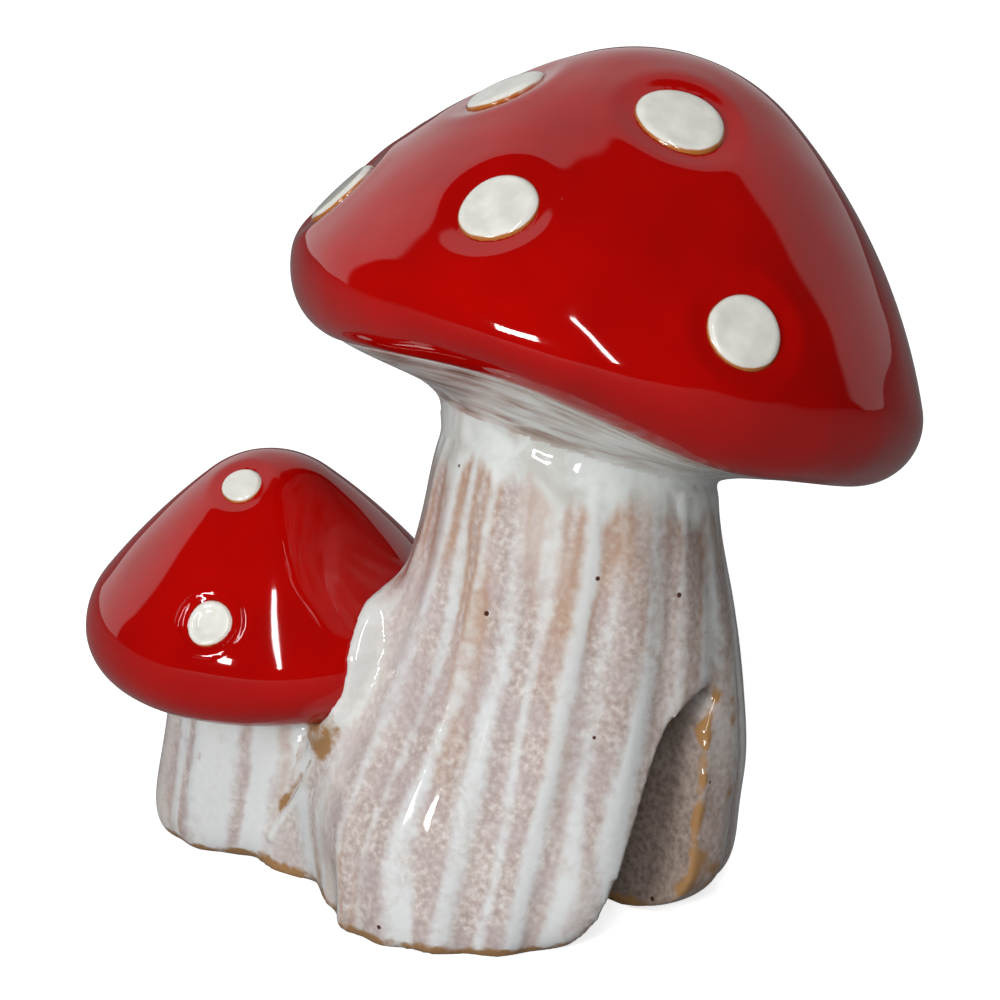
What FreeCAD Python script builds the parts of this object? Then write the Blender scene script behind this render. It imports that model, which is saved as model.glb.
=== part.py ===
import FreeCAD, Part
import math
import os

import Sketcher

from FreeCAD import Placement, Rotation, Vector

# Glazed stoneware ornament: a large leaning mushroom and a small upright one on a shared foot.
# X runs along the slot through the foot, Y runs back from the front of the foot, and Z is up.
# The origin is the middle of the front lobe's foot, on the surface that the ornament stands on.

# Driving dimensions in millimetres and degrees, and shares of them
DIMENSIONS = {
    # Trunk of the large mushroom
    "trunk_foot_x": -0.1,
    "trunk_foot_y": 9.9,
    "trunk_neck_x": 2.6,
    "trunk_neck_y": 18.0,
    "trunk_height": 44.0,
    "trunk_tilt": 17.0,
    "trunk_foot_radius": 20.5,
    "trunk_neck_radius": 13.9,
    "trunk_end_trim": 8.5,
    "trunk_end_turn": 10.0,
    "trunk_oval_share": 0.105,
    "trunk_oval_turn": 45.0,
    "trunk_flutes": 17,
    "trunk_flute_depth": 0.6,
    "trunk_foot_rounding": 1.2,
    # Slot through the foot
    "slot_front": 3.4,
    "slot_width": 10.9,
    "slot_front_rake_share": 0.45,
    "slot_rear_rake_share": 0.2,
    "slot_height": 24.2,
    "slot_front_shoulder": 17.0,
    "slot_haunch_y": 13.5,
    "slot_haunch_z": 21.2,
    "slot_crown_y": 18.8,
    "slot_hook_y": 20.4,
    "slot_hook_z": 22.5,
    "slot_rear_shoulder": 20.0,
    "slot_length": 120.0,
    "cut_overrun": 5.0,
    # Cap of the large mushroom, placed from the top of its trunk
    "large_cap_across": -0.35,
    "large_cap_back": 4.15,
    "large_cap_rise": 11.8,
    "large_cap_tilt": 21.6,
    "large_cap_roll": 3.3,
    "large_cap_radius": 32.2,
    "large_cap_height": 28.7,
    "large_cap_lip": 6.5,
    "large_cap_wall": 4.5,
    "large_lip_radius": 27.3,
    "large_seat_radius": 26.5,
    # Underside and collar of the large mushroom
    "large_underside_depth": 10.6,
    "large_underside_thickness": 3.6,
    "large_underside_flare": 4.0,
    "large_collar_radius": 14.0,
    # Cap of the small mushroom
    "small_cap_radius": 19.0,
    "small_cap_height": 18.1,
    "small_cap_lip": 5.4,
    "small_cap_wall": 3.2,
    "small_lip_radius": 15.0,
    "small_seat_radius": 14.2,
    "small_underside_depth": 6.6,
    "small_underside_thickness": 2.4,
    "small_underside_flare": 2.0,
    # Stem of the small mushroom
    "small_stem_foot_x": -29.3,
    "small_stem_foot_y": 1.8,
    "small_stem_neck_x": -26.0,
    "small_stem_neck_y": 2.4,
    "small_stem_height": 16.8,
    "small_stem_foot_radius": 10.2,
    "small_stem_neck_radius": 10.6,
    "small_stem_flutes": 9,
    "small_stem_flute_depth": 0.4,
    "small_stem_foot_rounding": 1.6,
    # White pads
    "large_pad_radius": 4.1,
    "large_pad_bevel": 0.4,
    "large_moat": 1.5,
    "large_dimple_depth": 0.9,
    "small_pad_radius": 2.4,
    "small_pad_bevel": 0.25,
    "small_moat": 0.9,
    "small_dimple_depth": 0.6,
    # Ridge of clay over the joint of the small cap and the trunk
    "web_radius": 2.6,
}


class Size:
    """A length as a number and as the spreadsheet expression that gives it."""

    def __init__(self, value, text):
        self.value = value
        self.text = text

    def joined(self, other, sign, value):
        text = other.text if isinstance(other, Size) else str(other)
        return Size(value, f"({self.text} {sign} {text})")

    def __add__(self, other):
        return self.joined(other, "+", self.value + number(other))

    def __sub__(self, other):
        return self.joined(other, "-", self.value - number(other))

    def __mul__(self, other):
        return self.joined(other, "*", self.value * number(other))

    def __neg__(self):
        return Size(-self.value, f"(0 - {self.text})")


def number(thing):
    return thing.value if isinstance(thing, Size) else float(thing)


doc = FreeCAD.newDocument("mushroom_ornament")
sheet = doc.addObject("Spreadsheet::Sheet", "Sizes")
size = {}
for row, (alias, value) in enumerate(DIMENSIONS.items(), start=1):
    sheet.set(f"A{row}", alias)
    sheet.set(f"B{row}", str(value))
    sheet.setAlias(f"B{row}", alias)
    size[alias] = Size(float(value), f"Sizes.{alias}")
doc.recompute()
ZERO = Size(0.0, "0")


def v(alias):
    """A driving dimension as a plain number."""
    return float(sheet.get(alias))


def origin_plane(body, role):
    return next(plane for plane in body.Origin.OriginFeatures if plane.Role == role)


class Outline:
    """A closed sketch outline of lines and tangent arcs whose corners are bound to the sheet."""

    def __init__(self, body, name, plane="XZ_Plane"):
        self.sketch = body.newObject("Sketcher::SketchObject", name)
        self.sketch.AttachmentSupport = (origin_plane(body, plane), [""])
        self.sketch.MapMode = "FlatFace"
        self.first = None
        self.last = None

    def constrain(self, *terms):
        return self.sketch.addConstraint(Sketcher.Constraint(*terms))

    def pin(self, piece, end, x, z):
        """Holds one end of a piece at x, z."""
        for kind, axis, place in (("DistanceX", -2, x), ("DistanceY", -1, z)):
            if place is ZERO:
                self.constrain("PointOnObject", piece, end, axis)
                continue
            held = self.constrain(kind, -1, 1, piece, end, place.value)
            self.sketch.setExpression(f"Constraints[{held}]", place.text)

    def start(self, x, z):
        self.at = Vector(x.value, z.value, 0)
        self.corner = (x, z)

    def follow(self, piece, near, far, smooth):
        """Joins a new piece to the one before it."""
        if self.last is None:
            self.first = (piece, near)
            self.pin(piece, near, *self.corner)
        else:
            self.constrain("Tangent" if smooth else "Coincident", *self.last, piece, near)
        self.last = (piece, far)

    def line_to(self, x, z):
        end = Vector(x.value, z.value, 0)
        piece = self.sketch.addGeometry(Part.LineSegment(self.at, end), False)
        self.follow(piece, 1, 2, False)
        self.pin(piece, 2, x, z)
        self.heading = (end - self.at).normalize()
        self.at = end

    def arc_to(self, x, z, from_axis=False):
        """An arc that leaves tangent to what comes before it, or square to the axis."""
        if from_axis:
            self.heading = Vector(1, 0, 0)
        end = Vector(x.value, z.value, 0)
        piece, near, far, self.heading = self.add_arc(end)
        self.follow(piece, near, far, True)
        if from_axis:
            self.constrain("PointOnObject", piece, 3, -2)
        self.pin(piece, far, x, z)
        self.at = end

    def add_arc(self, end):
        left = Vector(-self.heading.y, self.heading.x, 0)
        chord = end - self.at
        radius = chord.dot(chord) / (2 * left.dot(chord))
        centre = self.at + left * radius
        spoke_in = self.at - centre
        spoke_out = end - centre
        angle_in = math.atan2(spoke_in.y, spoke_in.x)
        angle_out = math.atan2(spoke_out.y, spoke_out.x)
        circle = Part.Circle(centre, Vector(0, 0, 1), abs(radius))
        if radius > 0:
            piece = self.sketch.addGeometry(Part.ArcOfCircle(circle, angle_in, angle_out), False)
            return piece, 1, 2, Vector(-spoke_out.y, spoke_out.x, 0).normalize()
        piece = self.sketch.addGeometry(Part.ArcOfCircle(circle, angle_out, angle_in), False)
        return piece, 2, 1, Vector(spoke_out.y, -spoke_out.x, 0).normalize()

    def close(self):
        """Draws the last line home and joins it to the start."""
        end = Vector(self.corner[0].value, self.corner[1].value, 0)
        piece = self.sketch.addGeometry(Part.LineSegment(self.at, end), False)
        self.constrain("Coincident", *self.last, piece, 1)
        self.constrain("Coincident", piece, 2, *self.first)
        return self.sketch


def new_body(label):
    body = doc.addObject("PartDesign::Body", label)
    body.Label = label
    return body


def turn(body, outline):
    """Revolves a closed outline about the body's own Z axis."""
    outline.close()
    solid = body.newObject("PartDesign::Revolution", "Turned")
    solid.Profile = outline.sketch
    solid.ReferenceAxis = (outline.sketch, ["V_Axis"])
    solid.Angle = 360
    outline.sketch.Visibility = False
    return body


def pad_out(body, outline, length):
    """Pads a closed outline to both sides of its plane."""
    outline.close()
    solid = body.newObject("PartDesign::Pad", "Padded")
    solid.Profile = outline.sketch
    solid.Midplane = True
    solid.setExpression("Length", length.text)
    return body


def lean(x, y, z, tilt, roll=0.0):
    """Placement of something that leans back towards +Y by a tilt and sideways by a roll."""
    sideways = Rotation(Vector(0, 1, 0), roll)
    return Placement(Vector(x, y, z), sideways * Rotation(Vector(1, 0, 0), -tilt))


# Where the dome's crown, flank and shoulder meet, as shares of the cap's radius and height
DOME_SHARES = {
    "large": ((0.34, 0.888), (0.98, 0.085)),
    "small": ((0.337, 0.873), (0.908, 0.265)),
}
trunk_neck = Vector(v("trunk_neck_x"), v("trunk_neck_y"), v("trunk_height"))
small_neck = Vector(v("small_stem_neck_x"), v("small_stem_neck_y"), v("small_stem_height"))
CAP_PLACES = {
    "large": lean(
        trunk_neck.x + v("large_cap_across"), trunk_neck.y + v("large_cap_back"),
        trunk_neck.z + v("large_cap_rise"), v("large_cap_tilt"), v("large_cap_roll"),
    ),
    "small": lean(small_neck.x, small_neck.y, small_neck.z + v("small_underside_depth"), 0.0),
}


def cap_blank(name):
    """The turned shell of a cap before its dimples are pressed, its hollow cut in plain facets."""
    body = new_body(f"{name}_cap_blank")
    radius = size[f"{name}_cap_radius"]
    height = size[f"{name}_cap_height"]
    lip = -size[f"{name}_cap_lip"]
    seat = size[f"{name}_seat_radius"]
    wall = size[f"{name}_cap_wall"]
    crown, shoulder = DOME_SHARES[name]
    dome = Outline(body, "Dome")
    dome.start(ZERO, height)
    dome.arc_to(radius * crown[0], height * crown[1], from_axis=True)
    dome.arc_to(radius * shoulder[0], height * shoulder[1])
    dome.arc_to(radius, ZERO)
    dome.arc_to(size[f"{name}_lip_radius"], lip)
    dome.line_to(seat, lip)
    dome.line_to(seat, ZERO)
    dome.line_to((radius - wall) * shoulder[0], (height - wall) * shoulder[1])
    dome.line_to((radius - wall) * crown[0], (height - wall) * crown[1])
    dome.line_to(ZERO, height - wall)
    turn(body, dome)
    body.Placement = CAP_PLACES[name]
    return body


# Height of the underside's flare above its foot, as a share of how far it reaches out
FLARE_RISE_SHARE = 0.45


def underside(label, name, neck_radius):
    """The disc that closes a cap from below and flares into its neck."""
    body = new_body(label)
    disc = Outline(body, "Disc")
    rim = size[f"{name}_seat_radius"]
    lip = -size[f"{name}_cap_lip"]
    flare = size[f"{name}_underside_flare"]
    foot = -size[f"{name}_underside_depth"]
    top = lip + size[f"{name}_underside_thickness"]
    disc.start(ZERO, top)
    disc.line_to(rim, top)
    disc.line_to(rim, lip)
    disc.line_to(neck_radius + flare, foot + flare * FLARE_RISE_SHARE)
    disc.arc_to(neck_radius, foot)
    disc.line_to(ZERO, foot)
    turn(body, disc)
    body.Placement = CAP_PLACES[name]
    return body


def on_dome(name, across_share, bearing):
    """Placement on a cap's dome, with Z square to the surface."""
    radius = v(f"{name}_cap_radius")
    height = v(f"{name}_cap_height")
    across = radius * across_share
    start, heading = Vector(0, height, 0), Vector(1, 0, 0)
    for end_share in DOME_SHARES[name]:
        end = Vector(radius * end_share[0], height * end_share[1], 0)
        left = Vector(-heading.y, heading.x, 0)
        chord = end - start
        reach = chord.dot(chord) / (2 * left.dot(chord))
        centre = start + left * reach
        spoke = end - centre
        if across <= end.x:
            break
        start, heading = end, Vector(spoke.y, -spoke.x, 0).normalize()
    rise = math.sqrt(reach * reach - (across - centre.x) ** 2)
    slope = math.degrees(math.atan2(across - centre.x, rise))
    spot = Placement(Vector(across, 0, centre.y + rise), Rotation(Vector(0, 1, 0), slope))
    around = Placement(Vector(0, 0, 0), Rotation(Vector(0, 0, 1), bearing))
    return CAP_PLACES[name] * around * spot


# White pads: distance from the cap's axis as a share of its radius, bearing, share of the full size
PAD_SHARES = {
    "large": (
        (0.46, -48.6, 1.07), (0.84, -80.3, 0.95), (0.92, -26.4, 0.93), (0.92, -132.5, 1.0),
        (0.553, -124.0, 1.0), (0.70, -158.0, 0.9), (0.88, 172.0, 1.0), (0.52, 163.0, 0.95),
        (0.88, 122.0, 1.0), (0.88, 76.0, 1.0), (0.50, 80.0, 1.0),
    ),
    "small": (
        (0.28, -75.0, 0.9), (0.86, -64.2, 1.0), (0.80, -170.0, 1.0), (0.80, 135.0, 1.0), (0.80, 90.0, 1.0),
    ),
}


def pad(name, index, place, scale_share):
    """A flat white pad with a bevelled edge."""
    body = new_body(f"{name}_cap_spot_{index}")
    radius = size[f"{name}_pad_radius"] * scale_share
    bevel = size[f"{name}_pad_bevel"]
    bed = -size[f"{name}_dimple_depth"]
    button = Outline(body, "Button")
    button.start(ZERO, bed)
    button.line_to(radius, bed)
    button.line_to(radius, -bevel)
    button.line_to(radius - bevel, ZERO)
    button.line_to(ZERO, ZERO)
    turn(body, button)
    body.Placement = place
    return body


def dimple(name, index, place, scale_share):
    """The tool that presses one dimple: a flat bed for the pad and a sloping moat round it."""
    body = new_body(f"{name}_dimple_{index}")
    bed = -size[f"{name}_dimple_depth"]
    foot = size[f"{name}_pad_radius"] * scale_share
    rim = foot + size[f"{name}_moat"]
    press = Outline(body, "Press")
    press.start(ZERO, bed)
    press.line_to(foot, bed)
    press.line_to(rim, ZERO)
    press.line_to(rim, -bed)
    press.line_to(ZERO, -bed)
    turn(body, press)
    body.Placement = place
    return body


# Levels of a stem: height, how much of the foot's extra width is left, how far it has leant, and
# how much of the foot's rounding and of its trimmed end is left
TRUNK_LEVEL_SHARES = (
    (0.0, 1.0, 0.0, 1.0), (0.03, 1.0, 0.02, 0.42), (0.075, 0.99, 0.06, 0.12),
    (0.145, 0.97, 0.12, 0.0), (0.306, 0.84, 0.38, 0.0), (0.5, 0.59, 0.68, 0.0),
    (0.65, 0.38, 0.84, 0.0), (0.805, 0.19, 0.92, 0.0), (1.0, 0.0, 1.0, 0.0),
)
SMALL_STEM_LEVEL_SHARES = (
    (0.0, 1.0, 0.0, 1.0), (0.08, 0.9, 0.04, 0.36), (0.2, 0.7, 0.12, 0.08),
    (0.35, 0.4, 0.3, 0.0), (0.7, 0.1, 0.75, 0.0), (1.0, 0.0, 1.0, 0.0),
)
FLUTE_WANDER_SHARE = 0.04
FLUTE_FADE_SHARE = 0.25
TRIM_SPREAD_SHARE = 0.5
POINTS_PER_FLUTE = 4


class Stem:
    """Sizes of a leaning stem that is lofted through fluted sections."""

    def __init__(self, name, foot, neck, level_shares, tilt=0.0, oval_share=0.0, trim=0.0):
        self.foot = foot
        self.neck = neck
        self.foot_radius = v(f"{name}_foot_radius")
        self.neck_radius = v(f"{name}_neck_radius")
        self.flutes = int(v(f"{name}_flutes"))
        self.flute_depth = v(f"{name}_flute_depth")
        self.rounding = v(f"{name}_foot_rounding")
        self.level_shares = level_shares
        self.tilt = tilt
        self.oval_share = oval_share
        self.trim = trim

    def section(self, height_share, swell_share, lean_share, foot_share):
        """A closed curve round the stem at one level, pinched by uneven shallow flutes."""
        radius = self.neck_radius + (self.foot_radius - self.neck_radius) * swell_share
        fade = min(1.0, (1 - height_share) / FLUTE_FADE_SHARE)
        count = self.flutes * POINTS_PER_FLUTE
        points = []
        for step in range(count):
            angle = 2 * math.pi * step / count
            wander = FLUTE_WANDER_SHARE * (math.sin(2 * angle) + math.sin(3 * angle + 1))
            ripple = self.flute_depth * fade * math.cos(self.flutes * angle) / 2
            bearing = angle + wander
            end_bearing = bearing - math.radians(v("trunk_end_turn"))
            off_end = math.remainder(end_bearing, 2 * math.pi) / TRIM_SPREAD_SHARE
            oval = math.cos(2 * bearing - 2 * math.radians(v("trunk_oval_turn")))
            reach = radius * (1 + self.oval_share * swell_share * oval) + ripple
            reach -= foot_share * (self.rounding + self.trim * math.exp(-off_end * off_end))
            points.append(Vector(reach * math.cos(bearing), reach * math.sin(bearing), 0))
        curve = Part.BSplineCurve()
        curve.interpolate(Points=points, PeriodicFlag=True)
        wire = Part.Wire(curve.toShape())
        wire.Placement = lean(
            self.foot.x + (self.neck.x - self.foot.x) * lean_share,
            self.foot.y + (self.neck.y - self.foot.y) * lean_share,
            self.neck.z * height_share,
            self.tilt * height_share,
        )
        return wire

    def solid(self):
        sections = [self.section(*level) for level in self.level_shares]
        return Part.makeLoft(sections, True, False)


def part_feature(label, shape):
    feature = doc.addObject("Part::Feature", label)
    feature.Label = label
    feature.Shape = shape
    return feature


def cut_by(label, base, tool):
    cut = doc.addObject("Part::Cut", label)
    cut.Label = label
    cut.Base = base
    cut.Tool = tool
    return cut


def fused(label, pieces):
    joined = doc.addObject("Part::MultiFuse", label)
    joined.Shapes = pieces
    return joined


def slot_tool():
    """The leaning arched slot that runs right through the trunk along X."""
    body = new_body("slot_tool")
    arch = Outline(body, "Arch", "YZ_Plane")
    under = -size["cut_overrun"]
    front = size["slot_front"]
    rear = front + size["slot_width"]

    def front_wall(height):
        return front + height * size["slot_front_rake_share"]

    def rear_wall(height):
        return rear + height * size["slot_rear_rake_share"]

    front_shoulder = size["slot_front_shoulder"]
    rear_shoulder = size["slot_rear_shoulder"]
    arch.start(front_wall(under), under)
    arch.line_to(front_wall(front_shoulder), front_shoulder)
    arch.arc_to(size["slot_haunch_y"], size["slot_haunch_z"])
    arch.arc_to(size["slot_crown_y"], size["slot_height"])
    arch.arc_to(size["slot_hook_y"], size["slot_hook_z"])
    arch.line_to(rear_wall(rear_shoulder), rear_shoulder)
    arch.line_to(rear_wall(under), under)
    return pad_out(body, arch, size["slot_length"])


def ring(label, radius, place):
    circle = doc.addObject("Part::Circle", label)
    circle.setExpression("Radius", radius.text)
    circle.Placement = place
    return circle


def dressed_cap(name):
    """A cap with its dimples pressed, and its white pads."""
    cap_pads, presses = [], []
    for index, (across_share, bearing, scale_share) in enumerate(PAD_SHARES[name], start=1):
        place = on_dome(name, across_share, bearing)
        presses.append(dimple(name, index, place, scale_share))
        cap_pads.append(pad(name, index, place, scale_share))
    return cap_blank(name), fused(f"{name}_dimples", presses), cap_pads


trunk = Stem(
    "trunk", Vector(v("trunk_foot_x"), v("trunk_foot_y"), 0), trunk_neck, TRUNK_LEVEL_SHARES,
    v("trunk_tilt"), v("trunk_oval_share"), v("trunk_end_trim"),
)
trunk_blank = part_feature("trunk_blank", trunk.solid())
large_stem = cut_by("large_stem", trunk_blank, slot_tool())

large_blank, large_presses, large_pads = dressed_cap("large")
large_cap = cut_by("large_cap", large_blank, large_presses)
large_underside = underside("large_cap_underside", "large", size["large_collar_radius"])
collar = doc.addObject("Part::Loft", "large_neck_collar")
collar.Sections = [
    ring("collar_foot", size["trunk_neck_radius"], lean(*trunk_neck, v("trunk_tilt"))),
    ring("collar_head", size["large_collar_radius"],
         CAP_PLACES["large"] * Placement(Vector(0, 0, -v("large_underside_depth")), Rotation())),
]
collar.Solid = True

# The small mushroom stops where it meets the trunk
small_blank, small_presses, small_pads = dressed_cap("small")
small_dimpled = cut_by("small_dimpled", small_blank, small_presses)
small_cap = cut_by("small_cap", small_dimpled, trunk_blank)
small_disc = underside("small_underside_blank", "small", size["small_stem_neck_radius"])
small_underside = cut_by("small_cap_underside", small_disc, trunk_blank)
small_stem_blank = part_feature("small_stem_blank", Stem(
    "small_stem", Vector(v("small_stem_foot_x"), v("small_stem_foot_y"), 0), small_neck,
    SMALL_STEM_LEVEL_SHARES,
).solid())
small_stem = cut_by("small_stem", small_stem_blank, trunk_blank)

# Path of the joining web: its place from the small cap's centre and its thickness, as shares
WEB_SHARES = (
    (0.826, 0.226, 0.474, 0.3), (0.847, 0.174, 0.400, 0.5), (0.868, 0.042, 0.342, 0.7),
    (0.858, -0.079, 0.263, 0.88), (0.889, -0.195, 0.137, 0.98), (0.853, -0.274, -0.047, 1.0),
    (0.811, -0.295, -0.200, 1.0), (0.737, -0.279, -0.368, 0.9), (0.637, -0.263, -0.542, 0.6),
)
web_points = [CAP_PLACES["small"].Base + Vector(*place) * v("small_cap_radius")
              for *place, _ in WEB_SHARES]
web_rings = []
for index, (*_, thickness_share) in enumerate(WEB_SHARES):
    before = web_points[max(index - 1, 0)]
    after = web_points[min(index + 1, len(web_points) - 1)]
    across = Placement(web_points[index], Rotation(Vector(0, 0, 1), after - before))
    web_rings.append(ring(f"web_ring_{index}", size["web_radius"] * thickness_share, across))
web_blank = doc.addObject("Part::Loft", "web_blank")
web_blank.Sections = web_rings
web_blank.Solid = True
web = cut_by("web_off_trunk", web_blank, trunk_blank)
web = cut_by("web_off_stem", web, small_stem_blank)
web = cut_by("web_off_disc", web, small_disc)
web = cut_by("web_off_cap", web, small_blank)
doc.recompute()
# The cuts leave slivers behind the joint, so only the ridge itself is kept
web = part_feature("joining_web", max(web.Shape.Solids, key=lambda solid: solid.Volume))

nodes = [large_cap, large_underside, collar, large_stem, small_cap, small_underside, small_stem, web]
nodes += large_pads + small_pads

doc.recompute()
for thing in doc.Objects:
    if "Invalid" in thing.State or "Error" in thing.State:
        raise RuntimeError(f"{thing.Label} failed to build: {thing.State}")
for node in nodes:
    if node.Shape.isNull() or not node.Shape.isValid() or not node.Shape.Solids:
        raise RuntimeError(f"{node.Label} has no sound solid")

os.makedirs("parts", exist_ok=True)
for node in nodes:
    node.Shape.exportStep(f"parts/{node.Label}.step")
    print(f"{node.Label}: {node.Shape.Volume:.0f} mm3, {len(node.Shape.Solids)} solid(s)")
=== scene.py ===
import math

import bmesh
import bpy
from mathutils import Matrix, Vector, noise
from mathutils.bvhtree import BVHTree


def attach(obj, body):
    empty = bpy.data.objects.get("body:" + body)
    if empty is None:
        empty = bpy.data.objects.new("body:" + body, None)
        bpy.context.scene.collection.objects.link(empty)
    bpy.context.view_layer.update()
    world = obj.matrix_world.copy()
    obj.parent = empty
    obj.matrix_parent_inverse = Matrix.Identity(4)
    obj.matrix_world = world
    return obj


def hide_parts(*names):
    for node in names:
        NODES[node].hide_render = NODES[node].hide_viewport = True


# A glazed stoneware ornament: two red toadstools on a streaked, fluted foot with a slot through it.

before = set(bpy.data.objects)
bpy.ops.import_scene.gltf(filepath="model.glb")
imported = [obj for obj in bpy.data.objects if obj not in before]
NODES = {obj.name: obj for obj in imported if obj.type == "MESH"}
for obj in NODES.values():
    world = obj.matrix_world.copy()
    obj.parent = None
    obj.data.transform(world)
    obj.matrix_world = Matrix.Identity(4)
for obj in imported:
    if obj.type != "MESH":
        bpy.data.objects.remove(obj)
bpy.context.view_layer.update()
MM = 0.001


# Camera, floor and studio

CAMERA_PLACE = Vector((267.574, -258.197, 179.083)) * MM
CAMERA_TARGET = Vector((1.789, 7.588, 42.275)) * MM
SENSOR_WIDTH_MM = 36
FOCAL_LENGTH_MM = 148.3
# Level directions away from the camera and to its right
AWAY = Vector((-math.sqrt(0.5), math.sqrt(0.5), 0))
RIGHT = Vector((math.sqrt(0.5), math.sqrt(0.5), 0))
# In metres: where the camera starts to see, what the lamps are aimed at, and the floor
NEAREST_SEEN = 0.02
LAMP_TARGET = Vector((0, 0.01, 0.045))
FLOOR_SIZE = 1.5


def link(thing):
    bpy.context.scene.collection.objects.link(thing)
    return thing


def aim(thing, place, target):
    thing.location = place
    thing.rotation_euler = (target - place).to_track_quat("-Z", "Y").to_euler()


def make_camera():
    lens = bpy.data.cameras.new("camera")
    lens.sensor_width = SENSOR_WIDTH_MM
    lens.lens = FOCAL_LENGTH_MM
    lens.clip_start = NEAREST_SEEN
    camera = link(bpy.data.objects.new("camera", lens))
    aim(camera, CAMERA_PLACE, CAMERA_TARGET)
    bpy.context.scene.camera = camera


def softbox(name, bearing, elevation, width, height, watts):
    """An area lamp a metre off. Bearing 0 is the camera's side, and a larger one lies to its right."""
    turn, rise = math.radians(bearing), math.radians(elevation)
    flat = -AWAY * math.cos(turn) + RIGHT * math.sin(turn)
    lamp = bpy.data.lights.new(name, "AREA")
    lamp.shape = "RECTANGLE"
    lamp.size = width
    lamp.size_y = height
    lamp.energy = watts
    box = link(bpy.data.objects.new(name, lamp))
    place = LAMP_TARGET + flat * math.cos(rise) + Vector((0, 0, math.sin(rise)))
    aim(box, place, LAMP_TARGET)


# Materials

def linear(code):
    """An sRGB hex colour as linear red, green, blue and alpha."""
    parts = [int(code[i:i + 2], 16) / 255 for i in (1, 3, 5)]
    return [c / 12.92 if c <= 0.04045 else ((c + 0.055) / 1.055) ** 2.4 for c in parts] + [1.0]


WHITE = linear("#FFFFFF")
GLAZE_IOR = 1.46


def add(tree, kind, settings=None, **links):
    """Adds one node, sets its properties and unlinked sockets, and links the rest."""
    node = tree.nodes.new(kind)
    for name, value in (settings or {}).items():
        setattr(node, name, value)
    for name, value in links.items():
        key = int(name[1:]) if name[0] == "_" and name[1:].isdigit() else name.replace("_", " ")
        socket = node.inputs[key]
        if isinstance(value, bpy.types.NodeSocket):
            tree.links.new(value, socket)
        else:
            socket.default_value = value
    return node


def new_material(name):
    material = bpy.data.materials.new(name)
    material.use_nodes = True
    tree = material.node_tree
    tree.nodes.clear()
    return material, tree


def ramp(tree, factor, *stops):
    """A colour that follows a factor through stops, each a place and a hex colour."""
    node = add(tree, "ShaderNodeValToRGB", Fac=factor)
    band = node.color_ramp
    while len(band.elements) < len(stops):
        band.elements.new(0.5)
    for element, (place, code) in zip(band.elements, stops):
        element.position = place
        element.color = linear(code)
    return node.outputs["Color"]


def share(tree, value, start, full):
    """How far a value has come from one level to another, eased, from 0 to 1."""
    return add(tree, "ShaderNodeMapRange", {"interpolation_type": "SMOOTHSTEP"},
               Value=value, From_Min=start, From_Max=full).outputs["Result"]


def times(tree, first, second):
    return add(tree, "ShaderNodeMath", {"operation": "MULTIPLY"}, _0=first, _1=second).outputs["Value"]


def plus(tree, first, second):
    return add(tree, "ShaderNodeMath", {"operation": "ADD"}, _0=first, _1=second).outputs["Value"]


def blend(tree, factor, first, second):
    return add(tree, "ShaderNodeMix", {"data_type": "RGBA"}, _0=factor, _6=first, _7=second).outputs[2]


def grain(tree, place, scale, detail=2.0, distortion=0.0):
    return add(tree, "ShaderNodeTexNoise", Vector=place, Scale=scale, Detail=detail,
               Distortion=distortion).outputs["Fac"]


def stretched(tree, place, across, along, shift=0.0):
    """Coordinates for a pattern drawn out along the third axis."""
    return add(tree, "ShaderNodeMapping", Vector=place, Location=(shift, shift, 0),
               Scale=(across, across, along)).outputs["Vector"]


def attribute(tree, name, output):
    return add(tree, "ShaderNodeAttribute", {"attribute_name": name}).outputs[output]


def finish_glaze(material, tree, colour, height, roughness, strength, distance):
    """A clear glossy glaze over a coloured body, on a surface that rises and falls with a height."""
    shader = add(tree, "ShaderNodeBsdfPrincipled", Base_Color=colour, Roughness=roughness, IOR=GLAZE_IOR)
    rise = add(tree, "ShaderNodeBump", Strength=strength, Distance=distance, Height=height)
    tree.links.new(rise.outputs["Normal"], shader.inputs["Normal"])
    add(tree, "ShaderNodeOutputMaterial", Surface=shader.outputs["BSDF"])
    return material


def red_glaze():
    """Iron-red glaze, dipped and fired glossy: deep red, browner where it thins."""
    material, tree = new_material("fired_red_gloss_glaze")
    place = add(tree, "ShaderNodeTexCoord").outputs["Object"]
    # Glaze thickness drifts over about 12 mm
    drift = grain(tree, place, scale=80.0, detail=3.0)
    colour = ramp(tree, drift, (0.3, "#980301"), (0.7, "#AC0401"))
    # The red breaks to brown where it thins on an edge
    thin = share(tree, attribute(tree, "thin", "Fac"), 0.2, 0.9)
    colour = blend(tree, times(tree, thin, 0.7), colour, linear("#7A1C0A"))
    # Pinholes about 0.5 mm across, from cells 14 mm apart
    pits = add(tree, "ShaderNodeTexVoronoi", Vector=place, Scale=70.0).outputs["Distance"]
    colour = blend(tree, share(tree, pits, 0.022, 0.012), colour, linear("#D87A70"))
    # The glaze pools in waves about 12 mm long
    waves = grain(tree, place, scale=85.0, detail=1.0)
    return finish_glaze(material, tree, colour, waves, roughness=0.05, strength=0.5, distance=0.0011)


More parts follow.
